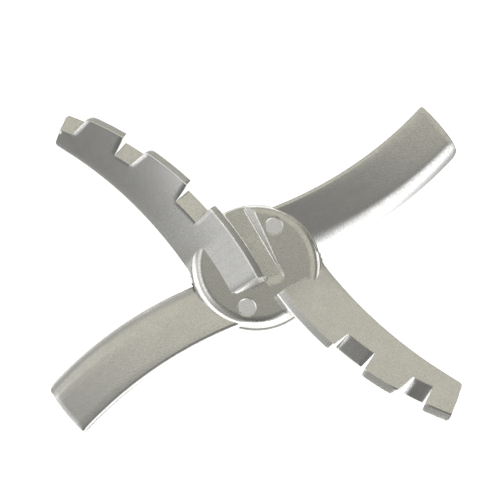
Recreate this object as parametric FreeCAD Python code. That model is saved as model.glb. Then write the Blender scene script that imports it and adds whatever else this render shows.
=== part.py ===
import FreeCAD, Part
import math
import os

# Four-arm rotary processor blade. Millimetres, +Z up.
# The origin is on the hub axis, at the mouth of the drive bore: the blade stands on z = 0.
# Each toothed arm is drawn for the +Y side and turned about the hub axis to its own side.

V = FreeCAD.Vector
AXIS = V(0, 0, 1)
HUB_AXIS = V(0, 0, 0)

# Hub stack, from the top down
HUB_HEIGHT = 28.0            # rest face to the top of the cap
CAP_RADIUS = 21.4            # outside of the drawn rim
CAP_DEPTH = 3.0              # top of the cap to the bottom of its rim
CAP_SHEET = 1.5
CAP_ROUNDING = 2.6           # outside radius between the flat and the rim
SPACER_RADIUS = 18.0
SPACER_THICKNESS = CAP_DEPTH - CAP_SHEET
SMOOTH_SHEET = 1.6
SMOOTH_DISC_RADIUS = 21.8    # the smooth blade's disc shows as a step round the cap
FLANGE_RADIUS = 19.6
FLANGE_THICKNESS = 1.8

# Ramp pressed into the cap beside the long arm's root: it falls from its inner end to the rim
RAMP_INNER_END = V(7.6, -5.2, 0)
RAMP_OUTER_END = V(-8.2, 21.6, 0)
RAMP_INNER_DEPTH = 0.3
RAMP_OUTER_DEPTH = 1.45
RAMP_INNER_WIDTHS = (1.9, 0.7, 0.8)     # left edge, floor's right edge, top of the right wall
RAMP_OUTER_WIDTHS = (2.9, 3.2, 6.6)
RAMP_MIDDLE_WIDTHS = (2.9, 3.1, 5.6)
RAMP_SIDE_SHEET = 1.2        # sheet left beside the pressed hollow
RAMP_BACKING_TOP = -0.5      # the backing stops this far below the cap's top
RAMP_CUT_TOP = 1.0           # and the cut runs this far above it
RAMP_GAP = 0.1               # between the backing and the spacer plate under it

# Drive
NECK_RADIUS = 11.2
NECK_LENGTH = 4.0
SLEEVE_RADIUS = 9.5
SLEEVE_MOUTH_RADIUS = 4.6
SHAFT_BORE_RADIUS = 4.05
BUSH_RADIUS = 6.5
BUSH_BOTTOM = 6.0            # above the rest face, clear of the drive slots
BUTTON_THICKNESS = 1.5
SLOT_WIDTH = 4.0
SLOT_DEPTH = 5.0             # to the top of its round end
SEAL_HEIGHT = 2.6
SEAL_BOTTOM = 7.5            # above the rest face
SEAL_WALL = 1.4
SEAL_LIP = 0.5
SEAL_GROOVE_DEPTH = 0.6
RING_WIRE_RADIUS = 0.55
RING_CENTRE_RADIUS = 4.75
RING_GROOVE_RADIUS = 5.4
RING_GROOVE_WIDTH = 1.3
RING_HEIGHT = 14.0
RING_GAP_DEGREES = 40.0
MOUTH_CHAMFER = 0.5
FIT = 0.02                   # gap left round pressed and glued parts
RIM_CLEARANCE = 0.1          # gap between the cap's rim and an arm that passes beside it

# Rivets, placed unevenly as the smooth blade's roots need
RIVET_PLACES = [V(6.0, 13.3, 0), V(-3.0, -14.8, 0)]
RIVET_RADIUS = 2.0
RIVET_HEAD_RADIUS = 2.85
RIVET_POCKET_RADIUS = 2.93
RIVET_HEAD_DROP = 0.2        # the head sits this far below the cap's top
RIVET_HEAD_DEPTH = 0.6
RIVET_TAIL_RADIUS = 3.0
RIVET_TAIL_HEIGHT = 1.0
RIVET_HEAD_FILLET = 0.25
RIVET_TAIL_FILLET = 0.4
EDGE_PICK = 0.01             # edges within this height of a face belong to it

# Toothed arm, plan: leading and trailing edges are arcs of two circles
LEAD_CENTRE = V(-106.3, -59.5, 0)
LEAD_RADIUS = 122.0
TRAIL_CENTRE = V(-140.7, -80.8, 0)
TRAIL_RADIUS = 142.0
TIP_ANGLE = 69.2
HUB_EXIT_ANGLE = 36.0
LONG_ROOT_ANGLE = 26.6
SHORT_ROOT_ANGLE = 35.5
RIM_ANGLE = 31.0             # beside the cap each arm's trailing side runs on to this angle

# Toothed arm, section: heights are from the top of the cap
TOOTH_SHEET = 1.8
BEVEL_WIDTH = 2.4
BEVEL_TOP = 4.7
BEVEL_DROP = 1.5
EDGE_THICKNESS = 0.5
ROOT_PITCH = 26.0
TIP_PITCH = 11.0
TAB_WIDTH = 9.0
TAB_SET_BACK = 2.7
TAB_DROP = 0.9
LIP_OUT_HUB = 1.2
LIP_OUT_TIP = 0.15
LIP_DEPTH_HUB = 3.2
LIP_DEPTH_TIP = 1.9
LIP_SHEET = 1.1
LIP_FOOT_SHARE = 0.45        # part of the lip's splay that its inner side has
LIP_FOLD_DROP = 0.25         # the fold between sheet and lip is cut back by these
LIP_FOLD_WIDTH = 0.3
LIP_FOLD_RISE = 0.02
UNDER_TOOTH = 1.1            # sheet thickness measured upright, as shares of the sheet
UNDER_LIP = 1.05
TAB_EDGE_LEAN = 0.2
TOOTH_EDGE_LEAN = 0.1
ROOT_WALL_SPREAD = 1.0
ROOT_WALL_SHEET = 1.1
END_WALL_SPREAD = 0.4
TIP_CORNER_RADIUS = 1.6
STRIP_OUTSIDE = 4.0          # the teeth's cutting prisms start this far outside the arm
BEND_OVERLAP = 0.4           # and end this far past the bend
ROOT_FILL_DEGREES = 2.0      # root's end wall is shaped within this much of its angle
ROOT_FRONT_DEGREES = 4.0     # root's front wall runs this far past the hub's rim

# The leading strip of each arm, from the root to the tip, as teeth and bent tabs. Each has a
# start and an end, given as two angles about the leading edge's centre: one at its outer
# edge and one at the tab's bend. A tab stands clear of the tooth beside it at one end.
LONG_ARM_STRIP = [
    ("tooth", (20.0, 20.0), (40.5, 40.4)),
    ("tab", (40.6, 40.4), (45.5, 45.4)),
    ("tooth", (46.1, 45.4), (54.2, 55.6)),
    ("tab", (54.6, 55.6), (58.3, 58.7)),
    ("tooth", (59.0, 58.7), (65.2, 67.0)),
    ("tab", (65.6, 67.0), (73.0, 73.0)),
]
SHORT_ARM_STRIP = [
    ("tooth", (20.0, 20.0), (47.2, 47.9)),
    ("tab", (47.7, 48.0), (52.8, 53.4)),
    ("tooth", (53.8, 53.5), (59.5, 61.0)),
    ("tab", (60.7, 61.3), (64.0, 64.7)),
    ("tooth", (64.6, 64.7), (73.0, 73.0)),
]

# Smooth arm, plan
SMOOTH_LEAD_CENTRE = V(32.7, -128.3, 0)
SMOOTH_LEAD_RADIUS = 133.7
SMOOTH_TRAIL_CENTRE = V(46.7, -147.7, 0)
SMOOTH_TRAIL_RADIUS = 136.9
SMOOTH_ROOT_ANGLE = 97.0     # the pitch and the roll are measured from here
SMOOTH_START_ANGLE = 103.0   # here the arm's whole section lies inside the disc
SMOOTH_TIP_ANGLE = 143.5     # drawn past the tip, then cut to the tip's arc
TIP_LEAD_CORNER = 139.25     # angle of the tip's corner on the leading edge
TIP_TRAIL_CORNER = 141.3
TIP_ARC_RADIUS = 29.0

# Smooth arm, section: heights are from the top of the cap
SMOOTH_MIDDLE_HEIGHT = -2.6
SMOOTH_ROOT_PITCH = 10.5
SMOOTH_TIP_PITCH = 4.0
ROLL_WIDTH_HUB = 6.2
ROLL_WIDTH_TIP = 3.6
ROLL_DROP = 1.6
ROLL_EDGE = 0.9
TURN_DOWN_RADIUS = 2.0
TURN_DOWN_ANGLE = 72.0
LEAD_CORNER_RADIUS = 2.2
TRAIL_CORNER_RADIUS = 0.9
ROLL_LEAN = 0.3              # the roll's underside starts this far in from its edge
ROLL_UNDER_SHIFT = 0.1
TIP_MARGIN = 10.0            # the space past the tip is drawn this much wider than the arm
TIP_REACH = 20.0

STATIONS = 9
FLANGE_GAP = 0.3             # the smooth arms' sections stay this far from the flange's rim
SLOT_MARGIN = 2.0            # the drive slots are cut this much longer than the sleeve


def direction(angle):
    a = math.radians(angle)
    return V(math.cos(a), math.sin(a), 0)


def raised(point, height):
    """The plan point at a height measured from the top of the cap."""
    return V(point.x, point.y, HUB_HEIGHT + height)


def cylinder(radius, height, base=HUB_AXIS):
    return Part.makeCylinder(radius, height, base, AXIS)


def half_turn(shape):
    turned = shape.copy()
    turned.rotate(HUB_AXIS, AXIS, 180)
    return turned


def turned_profile(points):
    """A solid of revolution about the hub axis from (radius, z) corners."""
    outline = Part.makePolygon([V(r, 0, z) for r, z in points + points[:1]])
    return Part.Face(outline).revolve(HUB_AXIS, AXIS, 360)


def span_to_arc(start, heading, centre, radius):
    """Distance from start along heading to the far side of a circle."""
    offset = start - centre
    along = offset.dot(heading)
    return -along + math.sqrt(along * along - offset.dot(offset) + radius * radius)


def section_wire(centre, edge_radius, angle, corners):
    """A closed section in the upright plane through centre at an angle.

    Each corner is (distance inward from the leading edge, height from the cap's top).
    """
    ray = direction(angle)
    points = [raised(centre + ray * (edge_radius - inward), height) for inward, height in corners]
    return Part.makePolygon(points + points[:1])


def solid_volume(solid):
    return solid.Volume


def blend(start, end, share):
    return start + (end - start) * share


# ---------------------------------------------------------------- toothed arms

def tooth_frame(angle):
    """Pitch, width and lip at one station of a toothed arm."""
    outward = max(0.0, (angle - HUB_EXIT_ANGLE) / (TIP_ANGLE - HUB_EXIT_ANGLE))
    pitch = math.radians(TIP_PITCH + (ROOT_PITCH - TIP_PITCH) * (1 - outward) ** 2)
    rho = span_to_arc(LEAD_CENTRE, direction(angle), TRAIL_CENTRE, TRAIL_RADIUS)
    lip_out = blend(LIP_OUT_HUB, LIP_OUT_TIP, outward)
    lip_depth = blend(LIP_DEPTH_HUB, LIP_DEPTH_TIP, outward)
    return math.tan(pitch), LEAD_RADIUS - rho, lip_out, lip_depth


def tooth_back(slope, width, lip_out, lip_depth):
    """Corners of the trailing lip, from its outer foot round to the underside."""
    top = BEVEL_TOP - (width - BEVEL_WIDTH) * slope
    return [
        (width - LIP_SHEET + LIP_FOOT_SHARE * lip_out, top - lip_depth),
        (width + lip_out, top - lip_depth),
        (width, top - LIP_FOLD_DROP),
        (width - LIP_FOLD_WIDTH, top + LIP_FOLD_RISE),
    ]


def tooth_section(angle, bent):
    slope, width, lip_out, lip_depth = tooth_frame(angle)
    corners = tooth_back(slope, width, lip_out, lip_depth)
    hinge = BEVEL_TOP - (TAB_WIDTH - BEVEL_WIDTH) * slope
    if bent:
        corners += [
            (TAB_WIDTH, hinge),
            (TAB_SET_BACK, hinge - TAB_DROP),
            (TAB_SET_BACK + TAB_EDGE_LEAN, hinge - TAB_DROP - TOOTH_SHEET),
            (TAB_WIDTH, hinge - TOOTH_SHEET * UNDER_TOOTH),
        ]
    else:
        corners += [
            (BEVEL_WIDTH, BEVEL_TOP),
            (0, BEVEL_TOP - BEVEL_DROP),
            (TOOTH_EDGE_LEAN, BEVEL_TOP - BEVEL_DROP - EDGE_THICKNESS),
            (TAB_WIDTH, hinge - TOOTH_SHEET * UNDER_TOOTH),
        ]
    inner = width - LIP_SHEET
    under = BEVEL_TOP - (inner - BEVEL_WIDTH) * slope - TOOTH_SHEET * UNDER_LIP
    corners.append((inner, under))
    return section_wire(LEAD_CENTRE, LEAD_RADIUS, angle, corners)


def arm_loft(section, start, end, count, **options):
    wires = []
    for i in range(count):
        wires.append(section(blend(start, end, i / (count - 1)), **options))
    return Part.makeLoft(wires, True, False)


def strip_prism(start, end):
    """An upright prism over one tooth or tab, from outside the arm to just past the bend."""
    corners = []
    for edge_angle, bend_angle in (start, end):
        for inward in (-STRIP_OUTSIDE, TAB_WIDTH + BEND_OVERLAP):
            angle = blend(edge_angle, bend_angle, inward / TAB_WIDTH)
            corners.append(LEAD_CENTRE + direction(angle) * (LEAD_RADIUS - inward))
    outline = Part.makePolygon([corners[0], corners[1], corners[3], corners[2], corners[0]])
    return Part.Face(outline).extrude(AXIS * 2 * HUB_HEIGHT)


def corner_cutter(corner, toward_a, toward_b, radius):
    """An upright prism that rounds an upright corner between two plan directions."""
    half = toward_a.getAngle(toward_b) / 2
    reach = radius / math.tan(half)
    middle = (toward_a + toward_b).normalize()
    centre = corner + middle * (radius / math.sin(half))
    start = corner + toward_a * reach
    end = corner + toward_b * reach
    beyond = corner - middle * radius
    outline = Part.Wire([
        Part.makeLine(beyond, start),
        Part.Arc(start, centre - middle * radius, end).toShape(),
        Part.makeLine(end, beyond),
    ])
    return Part.Face(outline).extrude(AXIS * 2 * HUB_HEIGHT)


def arc_heading(centre, point, sign):
    """Plan direction along a circle at a point, counter-clockwise when sign is +1."""
    spoke = (point - centre).normalize()
    return V(-spoke.y, spoke.x, 0) * sign


def cap_outline():
    """Outer profile of the cap in the upright XZ plane, from the axis to the rim's foot."""
    top = HUB_HEIGHT
    flat = CAP_RADIUS - CAP_ROUNDING
    bulge = CAP_ROUNDING * math.sqrt(0.5)
    start = V(flat, 0, top)
    middle = V(flat + bulge, 0, top - CAP_ROUNDING + bulge)
    end = V(CAP_RADIUS, 0, top - CAP_ROUNDING)
    return [
        Part.makeLine(V(0, 0, top), start),
        Part.Arc(start, middle, end).toShape(),
        Part.makeLine(end, V(CAP_RADIUS, 0, top - CAP_DEPTH)),
    ]


def cap_envelope():
    """Everything inside the cap's outer skin."""
    foot = HUB_HEIGHT - CAP_DEPTH
    closing = [
        Part.makeLine(V(CAP_RADIUS, 0, foot), V(0, 0, foot)),
        Part.makeLine(V(0, 0, foot), V(0, 0, HUB_HEIGHT)),
    ]
    return Part.Face(Part.Wire(cap_outline() + closing)).revolve(HUB_AXIS, AXIS, 360)


def root_walls(root_angle):
    """The steep walls that close the raised root down to the cap."""
    slope = math.tan(math.radians(ROOT_PITCH))
    edge = BEVEL_TOP - BEVEL_DROP
    foot = -CAP_ROUNDING
    foot_spread = ROOT_WALL_SPREAD * (edge - foot) / edge
    deep = BEVEL_WIDTH + (BEVEL_TOP + TOOTH_SHEET) / slope
    wall_degrees = math.degrees(ROOT_WALL_SHEET / LEAD_RADIUS)
    spread_degrees = math.degrees(END_WALL_SPREAD * (edge - foot) / edge / LEAD_RADIUS)

    def front_section(angle):
        corners = [
            (-foot_spread, foot),
            (0, edge),
            (ROOT_WALL_SHEET, edge),
            (ROOT_WALL_SHEET - foot_spread, foot),
        ]
        return section_wire(LEAD_CENTRE, LEAD_RADIUS, angle, corners)

    def filled_section(angle):
        corners = [
            (-foot_spread, foot),
            (0, edge),
            (BEVEL_WIDTH, BEVEL_TOP),
            (deep, -TOOTH_SHEET),
            (deep, foot),
        ]
        return section_wire(LEAD_CENTRE, LEAD_RADIUS, angle, corners)

    front_end = HUB_EXIT_ANGLE + ROOT_FRONT_DEGREES
    front = arm_loft(front_section, root_angle - spread_degrees, front_end, 5)
    fill_start = root_angle - ROOT_FILL_DEGREES
    filled = arm_loft(filled_section, fill_start, root_angle + ROOT_FILL_DEGREES, 3)
    layers = []
    for height, out in ((foot, spread_degrees), (BEVEL_TOP, 0)):
        corners = []
        for angle, inward in (
            (root_angle - out, -STRIP_OUTSIDE),
            (root_angle - out, deep),
            (root_angle - out + wall_degrees, deep),
            (root_angle - out + wall_degrees, -STRIP_OUTSIDE),
        ):
            point = LEAD_CENTRE + direction(angle) * (LEAD_RADIUS - inward)
            corners.append(raised(point, height))
        layers.append(Part.makePolygon(corners + corners[:1]))
    end = Part.makeLoft(layers, True, True).common(filled)
    return front, end


def before_root(root_angle):
    """The space over the cap on the hub side of an arm's root, outside which the arm runs on."""
    spoke = direction(root_angle)
    back = V(spoke.y, -spoke.x, 0)
    near = LEAD_CENTRE + spoke * (LEAD_RADIUS - 2 * CAP_RADIUS)
    far = LEAD_CENTRE + spoke * (LEAD_RADIUS + CAP_RADIUS)
    corners = [near, far, far + back * 3 * CAP_RADIUS, near + back * 3 * CAP_RADIUS]
    wedge = Part.Face(Part.makePolygon(corners + corners[:1])).extrude(AXIS * 2 * HUB_HEIGHT)
    return wedge.common(cylinder(CAP_RADIUS + RIM_CLEARANCE, 2 * HUB_HEIGHT))


def toothed_arm(root_angle, strip):
    """A toothed arm on the +Y side: a plain inner band, its teeth and tabs, and root walls."""
    start_angle = min(root_angle, RIM_ANGLE)
    upright = arm_loft(tooth_section, start_angle, TIP_ANGLE, STATIONS, bent=False)
    bent = arm_loft(tooth_section, start_angle, TIP_ANGLE, STATIONS, bent=True)
    if start_angle < root_angle:
        upright = upright.cut(before_root(root_angle))
    arm = upright.common(cylinder(LEAD_RADIUS - TAB_WIDTH, 2 * HUB_HEIGHT, LEAD_CENTRE))
    for kind, start, end in strip:
        body = bent if kind == "tab" else upright
        arm = arm.fuse(body.common(strip_prism(start, end)))
    for wall in root_walls(root_angle):
        arm = arm.fuse(wall)

    spoke = direction(TIP_ANGLE)
    width = LEAD_RADIUS - span_to_arc(LEAD_CENTRE, spoke, TRAIL_CENTRE, TRAIL_RADIUS)
    set_back = TAB_SET_BACK if strip[-1][0] == "tab" else 0
    outer = LEAD_CENTRE + spoke * (LEAD_RADIUS - set_back)
    inner = LEAD_CENTRE + spoke * (LEAD_RADIUS - width - LIP_OUT_TIP)
    back_along = arc_heading(LEAD_CENTRE, outer, -1)
    arm = arm.cut(corner_cutter(outer, spoke * -1, back_along, TIP_CORNER_RADIUS))
    arm = arm.cut(corner_cutter(inner, spoke, back_along, TIP_CORNER_RADIUS))
    return arm


# ---------------------------------------------------------------- cap, rivets

def rivet_cuts(radius):
    cuts = []
    for place in RIVET_PLACES:
        cuts.append(cylinder(radius, HUB_HEIGHT, place))
    return Part.makeCompound(cuts)


def ramp_solid(side, drop, top):
    """The ramp's hollow, widened by side, with its floor lowered by drop, up to a height."""
    along = RAMP_OUTER_END - RAMP_INNER_END
    length = along.Length
    along = along.normalize()
    right = V(along.y, -along.x, 0)
    stations = (
        (0.0, RAMP_INNER_WIDTHS),
        (0.5, RAMP_MIDDLE_WIDTHS),
        (1.0, RAMP_OUTER_WIDTHS),
    )
    wires = []
    for share, (left, floor_right, wall_right) in stations:
        base = RAMP_INNER_END + along * (length * share)
        floor = -blend(RAMP_INNER_DEPTH, RAMP_OUTER_DEPTH, share) - drop
        rise = (wall_right - floor_right) * (top / -floor) if top > 0 else 0
        points = [
            raised(base - right * (left + side), top),
            raised(base - right * (left + side), floor),
            raised(base + right * (floor_right + side), floor),
            raised(base + right * (wall_right + side + rise), top),
        ]
        wires.append(Part.makePolygon(points + points[:1]))
    return Part.makeLoft(wires, True, True)


def hub_cap():
    wall = CAP_ROUNDING - CAP_SHEET
    inner = CAP_RADIUS - CAP_SHEET
    flat = CAP_RADIUS - CAP_ROUNDING
    foot = HUB_HEIGHT - CAP_DEPTH
    under = HUB_HEIGHT - CAP_SHEET
    bulge = wall * math.sqrt(0.5)
    start = V(inner, 0, HUB_HEIGHT - CAP_ROUNDING)
    middle = V(flat + bulge, 0, HUB_HEIGHT - CAP_ROUNDING + bulge)
    end = V(flat, 0, under)
    outline = cap_outline() + [
        Part.makeLine(V(CAP_RADIUS, 0, foot), V(inner, 0, foot)),
        Part.makeLine(V(inner, 0, foot), start),
        Part.Arc(start, middle, end).toShape(),
        Part.makeLine(end, V(0, 0, under)),
        Part.makeLine(V(0, 0, under), V(0, 0, HUB_HEIGHT)),
    ]
    shell = Part.Face(Part.Wire(outline)).revolve(HUB_AXIS, AXIS, 360)
    backing = ramp_solid(RAMP_SIDE_SHEET, CAP_SHEET, RAMP_BACKING_TOP).common(cap_envelope())
    cap = shell.fuse(backing).cut(ramp_solid(0, 0, RAMP_CUT_TOP))
    cap = cap.cut(rivet_cuts(RIVET_RADIUS + FIT))
    for place in RIVET_PLACES:
        seat = HUB_HEIGHT - RIVET_HEAD_DROP - RIVET_HEAD_DEPTH
        cap = cap.cut(cylinder(RIVET_POCKET_RADIUS, HUB_HEIGHT, place + AXIS * seat))
    return cap


def rivet(place):
    top = HUB_HEIGHT - RIVET_HEAD_DROP
    tail_top = HUB_HEIGHT - CAP_DEPTH - SMOOTH_SHEET - FLANGE_THICKNESS
    tail_bottom = tail_top - RIVET_TAIL_HEIGHT
    head = cylinder(RIVET_HEAD_RADIUS, RIVET_HEAD_DEPTH, place + AXIS * (top - RIVET_HEAD_DEPTH))
    head_edges = [edge for edge in head.Edges if edge.BoundBox.ZMin > top - EDGE_PICK]
    head = head.makeFillet(RIVET_HEAD_FILLET, head_edges)
    shank = cylinder(RIVET_RADIUS, top - tail_bottom, place + AXIS * tail_bottom)
    tail = cylinder(RIVET_TAIL_RADIUS, RIVET_TAIL_HEIGHT, place + AXIS * tail_bottom)
    tail_edges = [edge for edge in tail.Edges if edge.BoundBox.ZMax < tail_bottom + EDGE_PICK]
    tail = tail.makeFillet(RIVET_TAIL_FILLET, tail_edges)
    return shank.fuse(head).fuse(tail).removeSplitter()


def spacer_plate():
    bottom = HUB_HEIGHT - CAP_DEPTH
    plate = cylinder(SPACER_RADIUS, SPACER_THICKNESS, AXIS * bottom)
    hollow = ramp_solid(RAMP_SIDE_SHEET + RAMP_GAP, CAP_SHEET + RAMP_GAP, RAMP_BACKING_TOP)
    plate = plate.cut(hollow)
    return plate.cut(rivet_cuts(RIVET_RADIUS + FIT))


# ---------------------------------------------------------------- smooth blade

def smooth_section(angle):
    heading = direction(angle)
    reach = span_to_arc(SMOOTH_LEAD_CENTRE, heading, SMOOTH_TRAIL_CENTRE, SMOOTH_TRAIL_RADIUS)
    width = SMOOTH_LEAD_RADIUS - reach
    outward = (angle - SMOOTH_ROOT_ANGLE) / (SMOOTH_TIP_ANGLE - SMOOTH_ROOT_ANGLE)
    slope = math.tan(math.radians(blend(SMOOTH_ROOT_PITCH, SMOOTH_TIP_PITCH, outward)))
    roll = blend(ROLL_WIDTH_HUB, ROLL_WIDTH_TIP, outward)

    def point(inward, below):
        height = SMOOTH_MIDDLE_HEIGHT + (inward - width / 2) * slope - below
        return raised(SMOOTH_LEAD_CENTRE + heading * (SMOOTH_LEAD_RADIUS - inward), height)

    def turned(radius, degrees):
        a = math.radians(degrees)
        hinge = width - TURN_DOWN_RADIUS
        return point(hinge + radius * math.sin(a), TURN_DOWN_RADIUS - radius * math.cos(a))

    small = TURN_DOWN_RADIUS - SMOOTH_SHEET
    edge = point(0, ROLL_DROP)
    edge_under = point(ROLL_LEAN, ROLL_DROP + ROLL_EDGE)
    under_middle = point(roll / 2 + ROLL_UNDER_SHIFT, ROLL_DROP / 4 + SMOOTH_SHEET)
    roll_end = point(roll, 0)
    roll_under = point(roll, SMOOTH_SHEET)
    return Part.Wire([
        Part.Arc(edge, point(roll / 2, ROLL_DROP / 4), roll_end).toShape(),
        Part.makeLine(roll_end, turned(TURN_DOWN_RADIUS, 0)),
        Part.Arc(
            turned(TURN_DOWN_RADIUS, 0),
            turned(TURN_DOWN_RADIUS, TURN_DOWN_ANGLE / 2),
            turned(TURN_DOWN_RADIUS, TURN_DOWN_ANGLE),
        ).toShape(),
        Part.makeLine(turned(TURN_DOWN_RADIUS, TURN_DOWN_ANGLE), turned(small, TURN_DOWN_ANGLE)),
        Part.Arc(
            turned(small, TURN_DOWN_ANGLE),
            turned(small, TURN_DOWN_ANGLE / 2),
            turned(small, 0),
        ).toShape(),
        Part.makeLine(turned(small, 0), roll_under),
        Part.Arc(roll_under, under_middle, edge_under).toShape(),
        Part.makeLine(edge_under, edge),
    ])


def beyond_tip():
    """The space past the smooth arm's round tip, with its two corners rounded."""
    lead = SMOOTH_LEAD_CENTRE + direction(TIP_LEAD_CORNER) * SMOOTH_LEAD_RADIUS
    spoke = direction(TIP_TRAIL_CORNER)
    reach = span_to_arc(SMOOTH_LEAD_CENTRE, spoke, SMOOTH_TRAIL_CENTRE, SMOOTH_TRAIL_RADIUS)
    trail = SMOOTH_LEAD_CENTRE + spoke * reach
    chord = trail - lead
    half = chord.Length / 2
    chord = chord.normalize()
    outward = V(chord.y, -chord.x, 0)
    if outward.dot(arc_heading(SMOOTH_LEAD_CENTRE, lead, 1)) < 0:
        outward = outward * -1
    depth = math.sqrt(TIP_ARC_RADIUS ** 2 - half ** 2)
    centre = lead + chord * half - outward * depth
    corners = [
        lead - chord * TIP_MARGIN,
        trail + chord * TIP_MARGIN,
        trail + chord * TIP_MARGIN + outward * TIP_REACH,
        lead - chord * TIP_MARGIN + outward * TIP_REACH,
    ]
    space = Part.Face(Part.makePolygon(corners + corners[:1])).extrude(AXIS * 2 * HUB_HEIGHT)
    space = space.cut(cylinder(TIP_ARC_RADIUS, 2 * HUB_HEIGHT, centre))
    back_lead = arc_heading(SMOOTH_LEAD_CENTRE, lead, -1)
    back_trail = arc_heading(SMOOTH_TRAIL_CENTRE, trail, -1)
    tip_lead = arc_heading(centre, lead, 1)
    if tip_lead.dot(chord) < 0:
        tip_lead = tip_lead * -1
    tip_trail = arc_heading(centre, trail, 1)
    if tip_trail.dot(chord) > 0:
        tip_trail = tip_trail * -1
    space = space.fuse(corner_cutter(lead, tip_lead, back_lead, LEAD_CORNER_RADIUS))
    return space.fuse(corner_cutter(trail, tip_trail, back_trail, TRAIL_CORNER_RADIUS))


def smooth_blade(toothed_arms):
    top = HUB_HEIGHT - CAP_DEPTH
    bottom = top - SMOOTH_SHEET
    arm = arm_loft(smooth_section, SMOOTH_START_ANGLE, SMOOTH_TIP_ANGLE, STATIONS)
    arm = arm.cut(beyond_tip())
    below_disc = cylinder(FLANGE_RADIUS + FLANGE_GAP, bottom)
    arm = arm.cut(below_disc)
    above = cylinder(CAP_RADIUS + FIT, 2 * HUB_HEIGHT, AXIS * top)
    arm = arm.cut(above)
    blade = cylinder(SMOOTH_DISC_RADIUS, SMOOTH_SHEET, AXIS * bottom)
    blade = blade.fuse(arm).fuse(half_turn(arm))
    for other in toothed_arms:
        blade = blade.cut(other)
    blade = blade.cut(rivet_cuts(RIVET_RADIUS + FIT))
    return blade


# ---------------------------------------------------------------- drive parts

def hub_flange():
    top = HUB_HEIGHT - CAP_DEPTH - SMOOTH_SHEET
    bottom = top - FLANGE_THICKNESS
    foot = bottom - NECK_LENGTH
    hole = SLEEVE_RADIUS + FIT
    flange = turned_profile([
        (hole, foot),
        (NECK_RADIUS, foot),
        (NECK_RADIUS, bottom),
        (FLANGE_RADIUS, bottom),
        (FLANGE_RADIUS, top),
        (hole, top),
    ])
    return flange.cut(rivet_cuts(RIVET_RADIUS + FIT))


def drive_sleeve():
    top = HUB_HEIGHT - CAP_DEPTH - SMOOTH_SHEET
    groove = SLEEVE_RADIUS - SEAL_GROOVE_DEPTH
    sleeve = turned_profile([
        (SLEEVE_MOUTH_RADIUS + MOUTH_CHAMFER, 0),
        (SLEEVE_RADIUS - MOUTH_CHAMFER, 0),
        (SLEEVE_RADIUS, MOUTH_CHAMFER),
        (SLEEVE_RADIUS, SEAL_BOTTOM),
        (groove, SEAL_BOTTOM),
        (groove, SEAL_BOTTOM + SEAL_HEIGHT),
        (SLEEVE_RADIUS, SEAL_BOTTOM + SEAL_HEIGHT),
        (SLEEVE_RADIUS, top),
        (BUSH_RADIUS, top),
        (BUSH_RADIUS, BUSH_BOTTOM),
        (SLEEVE_MOUTH_RADIUS, BUSH_BOTTOM),
        (SLEEVE_MOUTH_RADIUS, MOUTH_CHAMFER),
    ])
    length = 2 * SLEEVE_RADIUS + SLOT_MARGIN
    round_height = SLOT_DEPTH - SLOT_WIDTH / 2
    slot = Part.makeBox(length, SLOT_WIDTH, round_height, V(-length / 2, -SLOT_WIDTH / 2, 0))
    round_end = Part.makeCylinder(SLOT_WIDTH / 2, length, V(-length / 2, 0, round_height), V(1, 0, 0))
    slot = slot.fuse(round_end)
    across = slot.copy()
    across.rotate(HUB_AXIS, AXIS, 90)
    return sleeve.cut(slot).cut(across)


def bore_bush():
    top = HUB_HEIGHT - CAP_DEPTH - SMOOTH_SHEET - BUTTON_THICKNESS
    half = RING_GROOVE_WIDTH / 2
    outside = BUSH_RADIUS - FIT
    return turned_profile([
        (SHAFT_BORE_RADIUS, BUSH_BOTTOM),
        (outside, BUSH_BOTTOM),
        (outside, top),
        (SHAFT_BORE_RADIUS, top),
        (SHAFT_BORE_RADIUS, RING_HEIGHT + half),
        (RING_GROOVE_RADIUS, RING_HEIGHT + half),
        (RING_GROOVE_RADIUS, RING_HEIGHT - half),
        (SHAFT_BORE_RADIUS, RING_HEIGHT - half),
    ])


def end_button():
    top = HUB_HEIGHT - CAP_DEPTH - SMOOTH_SHEET
    return cylinder(BUSH_RADIUS - FIT, BUTTON_THICKNESS, AXIS * (top - BUTTON_THICKNESS))


def retaining_ring():
    section = Part.Face(Part.Wire(
        Part.makeCircle(RING_WIRE_RADIUS, V(RING_CENTRE_RADIUS, 0, RING_HEIGHT), V(0, 1, 0))
    ))
    return section.revolve(HUB_AXIS, AXIS, 360 - RING_GAP_DEGREES)


def shaft_seal():
    inside = SLEEVE_RADIUS - SEAL_GROOVE_DEPTH + FIT
    outside = inside + SEAL_WALL
    bottom = SEAL_BOTTOM + FIT
    top = SEAL_BOTTOM + SEAL_HEIGHT - FIT
    return turned_profile([
        (inside, bottom),
        (outside, bottom),
        (outside + SEAL_LIP, bottom + SEAL_LIP),
        (outside, bottom + 2 * SEAL_LIP),
        (outside, top - 2 * SEAL_LIP),
        (outside + SEAL_LIP, top - SEAL_LIP),
        (outside, top),
        (inside, top),
    ])


# ---------------------------------------------------------------- assembly

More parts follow.
